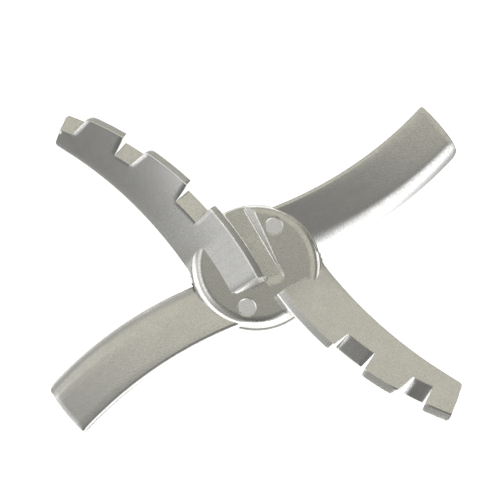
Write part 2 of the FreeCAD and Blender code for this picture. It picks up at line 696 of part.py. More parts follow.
def build():
    envelope = cap_envelope()
    clearance = cylinder(CAP_RADIUS + FIT, CAP_DEPTH - CAP_ROUNDING, AXIS * (HUB_HEIGHT - CAP_DEPTH))
    disc_space = cylinder(SMOOTH_DISC_RADIUS + FIT, HUB_HEIGHT - CAP_DEPTH)
    arms = []
    for root_angle, strip in (
        (LONG_ROOT_ANGLE, LONG_ARM_STRIP),
        (SHORT_ROOT_ANGLE, SHORT_ARM_STRIP),
    ):
        arm = toothed_arm(root_angle, strip)
        arm = arm.cut(envelope).cut(clearance).cut(disc_space)
        arms.append(max(arm.Solids, key=solid_volume))
    arms[1] = half_turn(arms[1])
    return {
        "hub_cap": hub_cap(),
        "toothed_arm_a": arms[0],
        "toothed_arm_b": arms[1],
        "smooth_blade": smooth_blade(arms),
        "rivet_a": rivet(RIVET_PLACES[0]),
        "rivet_b": rivet(RIVET_PLACES[1]),
        "spacer_plate": spacer_plate(),
        "hub_flange": hub_flange(),
        "drive_sleeve": drive_sleeve(),
        "bore_bush": bore_bush(),
        "end_button": end_button(),
        "retaining_ring": retaining_ring(),
        "shaft_seal": shaft_seal(),
    }


os.makedirs("parts", exist_ok=True)
for name, shape in build().items():
    print(name, shape.isValid(), len(shape.Solids), round(shape.Volume, 1))
    shape.exportStep("parts/" + name + ".step")
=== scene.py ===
import bmesh
import bpy
import math
from mathutils import Matrix, Vector


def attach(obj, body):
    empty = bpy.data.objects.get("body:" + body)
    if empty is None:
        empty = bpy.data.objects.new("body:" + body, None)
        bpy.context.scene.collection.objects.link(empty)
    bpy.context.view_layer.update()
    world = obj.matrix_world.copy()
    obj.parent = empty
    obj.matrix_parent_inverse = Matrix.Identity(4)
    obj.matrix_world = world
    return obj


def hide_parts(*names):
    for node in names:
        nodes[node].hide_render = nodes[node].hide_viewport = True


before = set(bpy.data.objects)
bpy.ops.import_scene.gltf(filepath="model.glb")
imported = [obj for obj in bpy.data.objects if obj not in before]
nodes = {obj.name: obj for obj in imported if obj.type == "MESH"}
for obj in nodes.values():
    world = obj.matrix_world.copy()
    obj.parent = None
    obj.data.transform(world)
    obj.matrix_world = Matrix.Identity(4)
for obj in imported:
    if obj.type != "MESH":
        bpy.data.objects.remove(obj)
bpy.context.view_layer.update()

scene = bpy.context.scene

# ------------------------------------------------------------------ sizes, in metres
CAP_TOP = 0.028
VIEW_DISTANCE = 0.8333
VIEW_ELEVATION = math.radians(74)


# ------------------------------------------------------------------ node helpers
class Graph:
    """A small helper that adds and links shader nodes."""

    def __init__(self, tree):
        self.tree = tree

    def add(self, kind, **settings):
        node = self.tree.nodes.new(kind)
        for key, value in settings.items():
            setattr(node, key, value)
        return node

    def feed(self, socket, value):
        if isinstance(value, bpy.types.NodeSocket):
            self.tree.links.new(value, socket)
        else:
            socket.default_value = value

    def math(self, operation, a, b=0.0):
        node = self.add("ShaderNodeMath", operation=operation)
        for socket, value in zip(node.inputs, (a, b)):
            self.feed(socket, value)
        return node.outputs[0]

    def ramp(self, value, low, high):
        """0 at low and 1 at high, with a soft start and end."""
        node = self.add("ShaderNodeMapRange", interpolation_type="SMOOTHSTEP")
        for name, item in (("Value", value), ("From Min", low), ("From Max", high)):
            self.feed(node.inputs[name], item)
        return node.outputs[0]

    def mix(self, share, a, b):
        node = self.add("ShaderNodeMix", data_type="RGBA")
        self.feed(node.inputs[0], share)
        self.feed(node.inputs[6], a)
        self.feed(node.inputs[7], b)
        return node.outputs[2]


def tint(value, warm=0.0):
    """A grey, made a little yellow by warm."""
    return (value * (1 + 0.35 * warm), value, value * (1 - 1.9 * warm), 1.0)


# ------------------------------------------------------------------ surroundings
def build_world():
    world = bpy.data.worlds.new("studio")
    scene.world = world
    world.use_nodes = True
    world.node_tree.nodes.clear()
    g = Graph(world.node_tree)
    place = g.add("ShaderNodeTexCoord").outputs["Generated"]
    split = g.add("ShaderNodeSeparateXYZ")
    g.feed(split.inputs[0], place)
    x, y, z = split.outputs
    square = g.math("ADD", g.math("MULTIPLY", x, x), g.math("MULTIPLY", y, y))
    flat = g.math("MAXIMUM", g.math("SQRT", square), 1e-5)
    zenith = g.math("MULTIPLY", g.math("ARCCOSINE", z), 180 / math.pi)
    scale = g.math("DIVIDE", zenith, flat)
    east = g.math("MULTIPLY", x, scale)
    north = g.math("MULTIPLY", y, scale)

    def patch(e, n, radius, core=0.35):
        """A soft round share of 1 at a direction, in degrees east and north of the zenith."""
        de = g.math("SUBTRACT", east, e)
        dn = g.math("SUBTRACT", north, n)
        far = g.math("SQRT", g.math("ADD", g.math("MULTIPLY", de, de), g.math("MULTIPLY", dn, dn)))
        return g.ramp(far, radius, radius * core)

    colour = g.mix(g.ramp(east, -30.0, -8.0), tint(0.46, 0.01), tint(0.23, 0.02))
    colour = g.mix(g.math("MULTIPLY", patch(-5.0, 2.0, 9.0), 0.7), colour, tint(0.10, 0.02))
    warm_side = g.ramp(g.math("ADD", north, g.math("MULTIPLY", east, 0.45)), 14.5, 18.5)
    colour = g.mix(warm_side, colour, tint(0.60, 0.07))
    west = g.ramp(g.math("MULTIPLY", east, -1.0), 26.0, 42.0)
    colour = g.mix(west, colour, tint(0.66, 0.01))
    colour = g.mix(g.math("MULTIPLY", patch(-40.0, -44.0, 30.0, 0.5), 0.85), colour, tint(0.32, 0.05))
    colour = g.mix(g.math("MULTIPLY", patch(2.0, -25.0, 20.0), 0.85), colour, tint(0.06, 0.0))
    colour = g.mix(g.math("MULTIPLY", patch(58.0, 54.0, 20.0, 0.5), 0.85), colour, tint(0.20, 0.02))
    rim_glow = g.math("MULTIPLY", patch(-31.0, 17.0, 19.0), 0.9)
    colour = g.mix(rim_glow, colour, tint(1.25, 0.0))
    line_glow = patch(-31.0, 0.0, 9.5, 0.5)
    colour = g.mix(line_glow, colour, tint(1.6, 0.0))
    far_north = g.math("MULTIPLY", g.ramp(zenith, 62.0, 76.0), g.ramp(y, 0.2, 0.5))
    colour = g.mix(far_north, colour, tint(0.42, 0.04))
    south_east = g.math("MULTIPLY", g.ramp(east, 14.0, 28.0), g.ramp(north, 2.0, -12.0))
    colour = g.mix(south_east, colour, tint(1.35, 0.0))
    reach = g.math("ADD", zenith, g.math("MULTIPLY", g.ramp(east, -24.0, -6.0), 20.0))
    low = g.ramp(reach, 62.0, 72.0)
    toward = g.math("ADD", g.math("MULTIPLY", x, -0.35), g.math("MULTIPLY", y, -0.94))
    colour = g.mix(g.math("MULTIPLY", low, g.ramp(toward, -0.1, 0.25)), colour, tint(1.9, 0.0))
    dark_side = g.math("MULTIPLY", g.ramp(x, 0.5, 0.78), g.ramp(zenith, 50.0, 68.0))
    colour = g.mix(g.math("MULTIPLY", dark_side, 0.75), colour, tint(0.12, 0.0))

    seen = g.add("ShaderNodeLightPath").outputs["Is Camera Ray"]
    colour = g.mix(seen, colour, (1.0, 1.0, 1.0, 1.0))
    back = g.add("ShaderNodeBackground")
    g.feed(back.inputs["Color"], colour)
    back.inputs["Strength"].default_value = 1.0
    out = g.add("ShaderNodeOutputWorld")
    g.feed(out.inputs[0], back.outputs[0])


def build_floor():
    mesh = bpy.data.meshes.new("floor")
    half = 3.0
    corners = [(-half, -half, 0), (half, -half, 0), (half, half, 0), (-half, half, 0)]
    mesh.from_pydata(corners, [], [(0, 1, 2, 3)])
    floor = bpy.data.objects.new("floor", mesh)
    scene.collection.objects.link(floor)
    floor.location.z = -0.0002
    mat = bpy.data.materials.new("floor_white")
    mat.use_nodes = True
    bsdf = mat.node_tree.nodes["Principled BSDF"]
    bsdf.inputs["Base Color"].default_value = (0.86, 0.86, 0.86, 1)
    bsdf.inputs["Roughness"].default_value = 0.9
    bsdf.inputs["Specular IOR Level"].default_value = 0.0
    bsdf.inputs["Emission Color"].default_value = (1, 1, 1, 1)
    bsdf.inputs["Emission Strength"].default_value = 0.75
    mesh.materials.append(mat)


def build_camera():
    data = bpy.data.cameras.new("camera")
    data.lens = 180.0
    data.sensor_width = 36.0
    data.shift_x = -6.0 / 500
    data.shift_y = 14.3 / 500
    data.clip_start = 0.01
    data.clip_end = 20.0
    cam = bpy.data.objects.new("camera", data)
    scene.collection.objects.link(cam)
    target = Vector((0, 0, CAP_TOP))
    back = Vector((0, -math.cos(VIEW_ELEVATION), math.sin(VIEW_ELEVATION)))
    cam.location = target + back * VIEW_DISTANCE
    cam.rotation_euler = (-back).to_track_quat("-Z", "Y").to_euler()
    scene.camera = cam


# ------------------------------------------------------------------ materials
def metal(name, tone, warm, rough, grain, bump=0.05, stretch=(1.0, 1.0, 1.0)):
    """Steel or brass: fine grain, slow clouding, stray hairlines and paler rubbed patches."""
    mat = bpy.data.materials.new(name)
    mat.use_nodes = True
    g = Graph(mat.node_tree)
    bsdf = mat.node_tree.nodes["Principled BSDF"]
    bsdf.inputs["Metallic"].default_value = 1.0
    place = g.add("ShaderNodeTexCoord").outputs["Object"]

    def noise(scale, detail, along=(1.0, 1.0, 1.0)):
        mapping = g.add("ShaderNodeMapping")
        g.feed(mapping.inputs["Vector"], place)
        mapping.inputs["Scale"].default_value = [scale * a for a in along]
        texture = g.add("ShaderNodeTexNoise")
        g.feed(texture.inputs["Vector"], mapping.outputs[0])
        texture.inputs["Scale"].default_value = 1.0
        texture.inputs["Detail"].default_value = detail
        return texture.outputs[0]

    fine = g.ramp(noise(grain, 3.0, stretch), 0.24, 0.76)
    cloud = noise(70.0, 3.0)
    blotch = noise(400.0, 2.0)
    hair = g.ramp(noise(260.0, 2.0, (1.0, 14.0, 1.0)), 0.66, 0.72)
    wear = g.ramp(noise(180.0, 4.0), 0.50, 0.66)

    shade = g.math("ADD", g.math("MULTIPLY", fine, 0.46), g.math("MULTIPLY", cloud, 0.20))
    shade = g.math("ADD", shade, g.math("MULTIPLY", blotch, 0.16))
    colour = g.mix(shade, tint(min(tone * 1.16, 1.0), warm), tint(tone * 0.66, warm))
    colour = g.mix(g.math("MULTIPLY", hair, 0.10), colour, tint(min(tone * 1.3, 1.0), 0.0))
    colour = g.mix(g.math("MULTIPLY", wear, 0.12), colour, tint(min(tone * 1.22, 1.0), 0.0))
    g.feed(bsdf.inputs["Base Color"], colour)

    spread = g.math("ADD", g.math("MULTIPLY", fine, 0.12), g.math("MULTIPLY", cloud, 0.06))
    spread = g.math("ADD", spread, rough - 0.09)
    spread = g.math("SUBTRACT", spread, g.math("MULTIPLY", wear, 0.04))
    g.feed(bsdf.inputs["Roughness"], spread)
    height = g.add("ShaderNodeBump")
    height.inputs["Strength"].default_value = bump
    height.inputs["Distance"].default_value = 0.0001
    g.feed(height.inputs["Height"], g.math("ADD", fine, g.math("MULTIPLY", hair, 0.2)))
    g.feed(bsdf.inputs["Normal"], height.outputs[0])
    return mat


def plastic(name, colour, rough, grain=900.0):
    mat = bpy.data.materials.new(name)
    mat.use_nodes = True
    g = Graph(mat.node_tree)
    bsdf = mat.node_tree.nodes["Principled BSDF"]
    place = g.add("ShaderNodeTexCoord").outputs["Object"]
    noise = g.add("ShaderNodeTexNoise")
    g.feed(noise.inputs["Vector"], place)
    noise.inputs["Scale"].default_value = grain
    noise.inputs["Detail"].default_value = 4.0
    darker = tuple(0.75 * c for c in colour[:3]) + (1,)
    g.feed(bsdf.inputs["Base Color"], g.mix(noise.outputs[0], colour, darker))
    spread = g.math("ADD", g.math("MULTIPLY", noise.outputs[0], 0.2), rough - 0.1)
    g.feed(bsdf.inputs["Roughness"], spread)
    height = g.add("ShaderNodeBump")
    height.inputs["Strength"].default_value = 0.15
    height.inputs["Distance"].default_value = 0.0001
    g.feed(height.inputs["Height"], noise.outputs[0])
    g.feed(bsdf.inputs["Normal"], height.outputs[0])
    return mat


def paint(node, mat):
    obj = nodes[node]
    for slot in obj.material_slots:
        slot.material = mat
    if not obj.material_slots:
        obj.data.materials.append(mat)


def build_materials():
    blade = metal("blade_steel", 0.80, 0.01, 0.20, 2600.0, 0.10)
    hub = metal("hub_steel", 0.76, 0.02, 0.24, 2200.0, 0.06)
    rivet = metal("rivet_steel", 1.0, 0.0, 0.55, 1800.0, 0.12)
    # painted highlight: a near-white, barely metallic steel whose colour stands in for the bright reflected
    # lines along the blade ridges
    highlight_paint = metal("painted_highlight_steel", 1.0, 0.0, 0.75, 2600.0)
    highlight_paint.node_tree.nodes["Principled BSDF"].inputs["Metallic"].default_value = 0.1
    cut = metal("sheared_edge_steel", 0.42, 0.02, 0.45, 1500.0, 0.2)
    spring = metal("spring_steel", 0.45, 0.0, 0.25, 900.0, 0.08, (1.0, 1.0, 6.0))
    brass = metal("bush_brass", 0.62, 0.30, 0.25, 500.0, 0.08, (1.0, 1.0, 6.0))
    sleeve = plastic("sleeve_plastic", (0.03, 0.03, 0.033, 1), 0.45)
    button = plastic("button_plastic", (0.6, 0.58, 0.5, 1), 0.4)
    seal = plastic("seal_rubber", (0.12, 0.125, 0.13, 1), 0.7)
    for node, mat in (("hub_cap", hub), ("toothed_arm_a", blade), ("toothed_arm_b", blade),
                      ("smooth_blade", blade), ("spacer_plate", hub), ("hub_flange", hub),
                      ("drive_sleeve", sleeve), ("bore_bush", brass), ("end_button", button),
                      ("retaining_ring", spring), ("shaft_seal", seal), ("rivet_a", rivet),
                      ("rivet_b", rivet)):
        paint(node, mat)
    return blade, hub, rivet, highlight_paint, cut


# ------------------------------------------------------------------ blade shapes, in millimetres
LEAD_CENTRE, LEAD_RADIUS = (-106.3, -59.5), 122.0
TRAIL_CENTRE, TRAIL_RADIUS = (-140.7, -80.8), 142.0
TIP_ANGLE, HUB_EXIT = 69.2, 36.0
LONG_ROOT, SHORT_ROOT = 26.6, 35.5
BEVEL_WIDTH, BEVEL_TOP, BEVEL_DROP = 2.4, 4.7, 1.5
BEND_IN, TAB_SET_BACK, TAB_DROP, SHEET = 9.0, 2.7, 0.9, 1.8
ROOT_FOOT = -0.9                # the root block's lower edge, under the cap's top
# RIDGE_COLUMN also marks the faces that get the painted highlight line along the root's ridge
RIDGE_COLUMN = 7                # the root block's ridge, counted round a loop
TIP_CORNER = 1.6
RIM_START, RIM_END, RIM_FLOOR = 21.55, 22.3, -3.9
LONG_STRIP = (
    ("tooth", (26.6, 26.6), (40.5, 40.4)),
    ("tab", (40.6, 40.4), (45.5, 45.4)),
    ("tooth", (46.1, 45.4), (54.2, 55.6)),
    ("tab", (54.6, 55.6), (58.3, 58.7)),
    ("tooth", (59.0, 58.7), (65.2, 67.0)),
    ("tab", (65.6, 67.0), (69.2, 69.2)),
)
SHORT_STRIP = (
    ("tooth", (35.5, 35.5), (47.2, 47.9)),
    ("tab", (47.7, 48.0), (52.8, 53.4)),
    ("tooth", (53.8, 53.5), (59.5, 61.0)),
    ("tab", (60.7, 61.3), (64.0, 64.7)),
    ("tooth", (64.6, 64.7), (69.2, 69.2)),
)


def lerp(a, b, share):
    return a + (b - a) * share


def heading(angle):
    a = math.radians(angle)
    return math.cos(a), math.sin(a)


def arc_reach(start, angle, centre, radius):
    dx, dy = start[0] - centre[0], start[1] - centre[1]
    hx, hy = heading(angle)
    along = dx * hx + dy * hy
    return -along + math.sqrt(along * along - dx * dx - dy * dy + radius * radius)


def place(centre, radius, angle, inward, height):
    hx, hy = heading(angle)
    reach = radius - inward
    return (centre[0] + hx * reach, centre[1] + hy * reach, CAP_TOP * 1000 + height)


def skin(name, loops, materials, painted_highlight_columns=(), painted_highlight_rows=(), cut_columns=()):
    """A closed mesh through a row of loops with equal point counts, capped at both ends.

    The materials are the sheet's face, its painted highlight lines (a near-white steel standing in for
    reflected bright edges) and its sheared edges.
    """
    count = len(loops[0])
    verts = [tuple(0.001 * c for c in point) for loop in loops for point in loop]
    faces = []
    for i in range(len(loops) - 1):
        for j in range(count):
            k = (j + 1) % count
            faces.append((i * count + j, i * count + k, (i + 1) * count + k, (i + 1) * count + j))
    faces.append(tuple(reversed(range(count))))
    faces.append(tuple(range((len(loops) - 1) * count, len(loops) * count)))
    mesh = bpy.data.meshes.new(name)
    mesh.from_pydata(verts, [], faces)
    for i in range(len(loops) - 1):
        for j in cut_columns:
            mesh.polygons[i * count + j].material_index = 2
        # material 1 paints a highlight onto these ridge faces
        for j in painted_highlight_columns:
            if i in painted_highlight_rows:
                mesh.polygons[i * count + j].material_index = 1
    work = bmesh.new()
    work.from_mesh(mesh)
    bmesh.ops.remove_doubles(work, verts=work.verts, dist=2e-6)
    bmesh.ops.dissolve_degenerate(work, edges=work.edges, dist=1e-6)
    bmesh.ops.recalc_face_normals(work, faces=work.faces)
    work.to_mesh(mesh)
    work.free()
    for material in materials:
        mesh.materials.append(material)
    obj = bpy.data.objects.new(name, mesh)
    scene.collection.objects.link(obj)
    mesh.shade_smooth()
    mesh.set_sharp_from_angle(angle=math.radians(31))
    return obj


def tooth_slope(angle):
    outward = max(0.0, (angle - HUB_EXIT) / (TIP_ANGLE - HUB_EXIT))
    pitch = 11.0 + 15.0 * (1 - min(outward, 1.0)) ** 2
    return math.tan(math.radians(pitch)), min(outward, 1.0)


def tooth_width(angle):
    return LEAD_RADIUS - arc_reach(LEAD_CENTRE, angle, TRAIL_CENTRE, TRAIL_RADIUS)


def inner_band(angle, inset):
    """(inward, height) from the lip's inner foot, round the fold and over to the bend."""
    slope, outward = tooth_slope(angle)
    width = tooth_width(angle)
    out = lerp(1.2, 0.15, outward)
    depth = lerp(3.2, 1.9, outward)

    def top(x):
        return BEVEL_TOP - (x - BEVEL_WIDTH) * slope - inset

    edge = BEVEL_TOP - (width - BEVEL_WIDTH) * slope
    foot = edge - depth + inset
    back = width - inset
    points = [
        (back - 1.1 + 0.45 * out, foot),
        (back + out - 0.25, foot),
        (back + out - 0.07, foot + 0.07),
        (back + 0.97 * out, foot + 0.25),
        (back + 0.26 * out, edge - 0.75 - inset),
        (back + 0.02, edge - 0.42 - inset),
        (back - 0.14, edge - 0.18 - inset),
        (back - 0.42, top(width - 0.42) - 0.03),
        (back - 0.85, top(width - 0.85)),
    ]
    for share in (0.2, 0.45, 0.7, 0.88):
        x = lerp(width - 0.85, BEND_IN, share)
        points.append((x, top(x)))
    under = [(x, top(x) - SHEET * 1.08 + 2 * inset) for x in
             (BEND_IN + 0.8, lerp(width - 1.1, BEND_IN, 0.6), width - 1.6)]
    return points, under


def outer_part(kind, angle, inset):
    """(inward, height) over a tooth or a tab: top, front edge, underside back to the bend."""
    slope, _ = tooth_slope(angle)
    hinge = BEVEL_TOP - (BEND_IN - BEVEL_WIDTH) * slope
    base = hinge - SHEET * 1.1
    if kind == "tooth":
        top = [(x, BEVEL_TOP - (x - BEVEL_WIDTH) * slope) for x in (9.0, 8.6, 6.5, 4.6, 3.1, 2.75)]
        bevel = BEVEL_DROP / BEVEL_WIDTH
        top += [(2.4, BEVEL_TOP - 0.06), (2.05, BEVEL_TOP - 0.35 * bevel - 0.03)]
        top += [(x, BEVEL_TOP - (BEVEL_WIDTH - x) * bevel) for x in (1.2, 0.4)]
        top += [(0.13, BEVEL_TOP - BEVEL_DROP + 0.05), (0.0, BEVEL_TOP - BEVEL_DROP - 0.1)]
        sill = BEVEL_TOP - BEVEL_DROP - 0.5
        under = [(0.02, sill + 0.12), (0.2, sill - 0.02)]
        under += [(x, lerp(sill, base, x / BEND_IN)) for x in (2.5, 6.0, 8.6, 9.0)]
        near = 0.0
    elif kind == "tab":
        fall = TAB_DROP / (BEND_IN - TAB_SET_BACK)
        top = [(9.0, hinge - 0.015), (8.6, hinge - 0.07)]
        top += [(x, hinge - (BEND_IN - x) * fall) for x in (7.4, 6.2, 5.0, 4.2, 3.7, 3.4, 3.2, 3.0)]
        top += [(2.8, hinge - TAB_DROP - 0.05), (2.7, hinge - TAB_DROP - 0.2)]
        sill = hinge - TAB_DROP - SHEET
        under = [(2.72, sill + 0.2), (2.9, sill)]
        under += [(x, lerp(sill, base, (x - 2.7) / 6.3)) for x in (4.5, 6.5, 8.6, 9.0)]
        near = TAB_SET_BACK
    else:
        return [(BEND_IN, hinge)] * 12 + [(BEND_IN, base)] * 6
    result = []
    for i, (x, h) in enumerate(top + under):
        share = min(1.0, max(0.0, (BEND_IN - x) / 0.8))
        edge_share = max(0.0, 1.0 - (x - near) / 0.8)
        lift = -inset if i < len(top) else inset
        result.append((x + inset * edge_share, h + lift * share))
    return result


def rim_clamp(angle):
    """How far inward an arm beside the cap's rim has to start, at one angle."""
    hx, hy = heading(angle)
    along = LEAD_CENTRE[0] * hx + LEAD_CENTRE[1] * hy
    off = LEAD_CENTRE[0] ** 2 + LEAD_CENTRE[1] ** 2 - RIM_START ** 2
    return LEAD_RADIUS - (-along - math.sqrt(along * along - off))


def arm_loop(kind, edge_angle, bend_angle, inset_outer=0.0, inset_all=0.0, tip=None, beside=False):
    """One closed loop of a toothed arm. The angle runs from the bend's to the outer edge's."""
    band, under = inner_band(bend_angle, inset_all)
    profile = band + outer_part(kind, bend_angle, max(inset_outer, inset_all)) + under
    width = tooth_width(bend_angle)
    near = TAB_SET_BACK if kind == "tab" else 0.0
    points = []
    if beside:
        slope, _ = tooth_slope(bend_angle)
        start = min(rim_clamp(bend_angle), width - 0.2)
        top_count = len(band) + 12
        clamped = []
        for i, (x, h) in enumerate(profile):
            if x < start:
                h = BEVEL_TOP - (start - BEVEL_WIDTH) * slope - (0.0 if i < top_count else SHEET * 1.1)
                x = start
            clamped.append((x, h))
        profile = clamped
    for x, h in profile:
        angle = bend_angle
        if x < BEND_IN:
            angle = lerp(edge_angle, bend_angle, x / BEND_IN)
        if tip is not None:
            gap = min(max(x - near, 0.0), max(width - x, 0.0))
            short = TIP_CORNER - gap
            if short > 0:
                pull = TIP_CORNER - math.sqrt(max(TIP_CORNER ** 2 - short ** 2, 0.0))
                angle -= tip * math.degrees(pull / LEAD_RADIUS)
        point = place(LEAD_CENTRE, LEAD_RADIUS, angle, x, h)
        if math.hypot(point[0], point[1]) < RIM_END:
            point = (point[0], point[1], max(point[2], CAP_TOP * 1000 + RIM_FLOOR))
        points.append(point)
    return points


def toothed_arm(name, strip, materials, turned, painted_highlight_piece):
    loops = []
    painted_highlight_rows = []
    if turned:
        for angle in (32.6, 33.4, 34.2, 35.0, 35.45):
            loops.append(arm_loop("tooth", angle, angle, beside=True))
    round_off = 0.16
    step = math.degrees(round_off / LEAD_RADIUS)
    for index, (kind, start, end) in enumerate(strip):
        last = index == len(strip) - 1
        if index > 0:
            loops.append(arm_loop("none", start[1], start[1]))
            loops.append(arm_loop(kind, start[0], start[1], inset_outer=round_off))
            loops.append(arm_loop(kind, start[0] + 0.35 * step, start[1] + 0.35 * step, inset_outer=0.05))
        begin = (start[0] + step, start[1] + step) if index > 0 else start
        finish = (end[0] - step, end[1] - step)
        count = max(4, int((finish[0] - begin[0]) / 0.7))
        # the rows of this one piece carry the painted highlight along its ridge
        if index == painted_highlight_piece:
            painted_highlight_rows = range(len(loops), len(loops) + count)
        for i in range(count + 1):
            share = i / count
            tip = share ** 3 if last else None
            edge_angle = lerp(begin[0], finish[0], share)
            bend_angle = lerp(begin[1], finish[1], share)
            loops.append(arm_loop(kind, edge_angle, bend_angle, tip=tip))
        if last:
            loops.append(arm_loop(kind, end[0] - 0.35 * step, end[1] - 0.35 * step, inset_all=0.1, tip=1.0))
            loops.append(arm_loop(kind, end[0], end[1], inset_all=round_off, tip=1.0))
        else:
            loops.append(arm_loop(kind, end[0] - 0.35 * step, end[1] - 0.35 * step, inset_outer=0.05))
            loops.append(arm_loop(kind, end[0], end[1], inset_outer=round_off))
            loops.append(arm_loop("none", end[1], end[1]))
    if turned:
        loops = [[(-x, -y, z) for x, y, z in loop] for loop in loops]
    # the bevel ridge column gets the painted highlight: white colour standing in for a reflected bright
    # line
    ridge = [len(inner_band(50.0, 0.0)[0]) + 5]
    return skin(name, loops, materials, ridge, painted_highlight_rows, (0, 1, 2))


def root_block(name, root, materials, turned):
    """The raised root: the sheet's end folded down to the cap, with rounded folds."""
    slope = math.tan(math.radians(26.0))
    crease = BEVEL_WIDTH + BEVEL_TOP / slope + 1.0
    round_off = 0.35
    step = math.degrees(round_off / LEAD_RADIUS)

    def ring(angle, inset):
        """A loop over the root's top and down both sides, at one angle."""
        edge = BEVEL_TOP - BEVEL_DROP
        profile = [(crease, ROOT_FOOT), (crease, BEVEL_TOP - (crease - BEVEL_WIDTH) * slope - inset)]
        for x in (11.0, 9.0, 6.5, 4.6, 3.1, 2.75):
            profile.append((x, BEVEL_TOP - (x - BEVEL_WIDTH) * slope - inset))
        profile += [(2.4, BEVEL_TOP - 0.06 - inset), (2.05, BEVEL_TOP - 0.35 * 0.625 - 0.03 - inset),
                    (1.2, BEVEL_TOP - 0.75 - inset), (0.45 + inset, edge + 0.25 - inset),
                    (0.16 + inset, edge + 0.02 - inset), (0.0 + inset, edge - 0.25 - inset),
                    (-0.5, edge * 0.5), (-1.0, 0.0), (-1.15, ROOT_FOOT)]
        return [place(LEAD_CENTRE, LEAD_RADIUS, angle, x, max(h, ROOT_FOOT)) for x, h in profile]

    splay = math.degrees(1.0 / LEAD_RADIUS)
    floor_loop = ring(root - splay, 0.0)
    floor_loop = [(x, y, min(z, CAP_TOP * 1000 - 0.5)) for x, y, z in floor_loop]
    high_loop = ring(root, round_off)
    fold_loop = []
    for low, high in zip(floor_loop, high_loop):
        fold_loop.append(tuple(lerp(a, b, 0.97) for a, b in zip(low, high)))
    loops = [floor_loop, fold_loop, high_loop]
    loops.append(ring(root + 0.35 * step, 0.1))
    loops.append(ring(root + step, 0.0))
    for i in range(1, 9):
        loops.append(ring(lerp(root + step, HUB_EXIT + 2.6, i / 8), 0.0))
    if turned:
        loops = [[(-x, -y, z) for x, y, z in loop] for loop in loops]
    # painted highlight along the root's ridge, on the unturned arm only
    painted_highlight_rows = () if turned else range(2, len(loops) - 1)
    return skin(name, loops, materials, (RIDGE_COLUMN,), painted_highlight_rows)


# The smooth arms
S_LEAD_CENTRE, S_LEAD_RADIUS = (32.7, -128.3), 133.7
S_TRAIL_CENTRE, S_TRAIL_RADIUS = (46.7, -147.7), 136.9
S_ROOT, S_TIP_LEAD, S_TIP_TRAIL, S_TIP_BULGE = 97.0, 139.35, 141.25, 0.30
S_PITCH, S_ROLL = (10.5, 4.0), (8.0, 5.0)      # at the root's end and at the tip
S_ROLL_DROP, S_SHEET, S_TURN = 2.2, 1.6, 2.0
S_LEAD_CORNER, S_TRAIL_CORNER = 1.0, 0.9
S_SPAN = 46.5                   # degrees over which the pitch and the roll change


def smooth_loop(share, inset=0.0):
    """One closed loop of a smooth arm, from the roll round to the turned-down edge."""
    middle = lerp(S_ROOT, 0.5 * (S_TIP_LEAD + S_TIP_TRAIL) + 0.3, share)
    width = S_LEAD_RADIUS - arc_reach(S_LEAD_CENTRE, middle, S_TRAIL_CENTRE, S_TRAIL_RADIUS)
    outward = (middle - S_ROOT) / S_SPAN
    slope = math.tan(math.radians(lerp(*S_PITCH, outward)))
    roll = lerp(*S_ROLL, outward)
    turn = S_TURN
    small = turn - S_SHEET

    def plane(x):
        return -2.6 + (x - width / 2) * slope

    profile = []
    for i in range(9):
        x = roll * i / 8
        profile.append((x, plane(x) - S_ROLL_DROP * (1 - i / 8) ** 2 - inset))
    for part in (0.2, 0.4, 0.6, 0.8):
        x = lerp(roll, width - turn, part)
        profile.append((x, plane(x) - inset))
    for degrees in (0, 12, 24, 36, 48, 60, 72):
        a = math.radians(degrees)
        x = width - turn + (turn - inset) * math.sin(a)
        profile.append((x, plane(x) - turn + (turn - inset) * math.cos(a)))
    for degrees in (72, 36, 0):
        a = math.radians(degrees)
        x = width - turn + (small + inset) * math.sin(a)
        profile.append((x, plane(x) - turn + (small + inset) * math.cos(a)))
    for part in (0.7, 0.35):
        x = lerp(roll, width - turn, part)
        profile.append((x, plane(x) - S_SHEET + inset))
    for i in (8, 5, 2):
        x = roll * i / 8
        profile.append((x + 0.1, plane(x) - S_ROLL_DROP * (1 - i / 8) ** 2 - 1.55 + inset))
    profile.append((0.42, plane(0) - S_ROLL_DROP - 0.95 + inset))
    profile.append((0.06, plane(0) - S_ROLL_DROP - 0.72))
    profile.append((0.0, plane(0) - S_ROLL_DROP - 0.25))
    points = []
    for x, h in profile:
        part = min(max(x / width, 0.0), 1.0)
        tip = lerp(S_TIP_LEAD, S_TIP_TRAIL, part) + S_TIP_BULGE * 4 * part * (1 - part)
        for gap, corner in ((x, S_LEAD_CORNER), (width - x, S_TRAIL_CORNER)):
            short = corner - max(gap, 0.0)
            if short > 0:
                pull = corner - math.sqrt(max(corner ** 2 - short ** 2, 0.0))
                tip -= math.degrees(pull / S_LEAD_RADIUS)
        angle = lerp(S_ROOT, tip, share)
        x = x + inset * max(0.0, 1 - x / 1.0)
        points.append(place(S_LEAD_CENTRE, S_LEAD_RADIUS, angle, x, h))
    return points


def smooth_arm(name, materials, turned):
    stations = 44
    loops = []
    for i in range(stations + 1):
        loops.append(smooth_loop(lerp(0.25, 0.9955, i / stations)))
    loops.append(smooth_loop(0.9965, 0.02))
    loops.append(smooth_loop(1.0, 0.27))
    if turned:
        loops = [[(-x, -y, z) for x, y, z in loop] for loop in loops]
    count = len(loops[0])
    return skin(name, loops, materials, cut_columns=(19, count - 3, count - 2, count - 1))


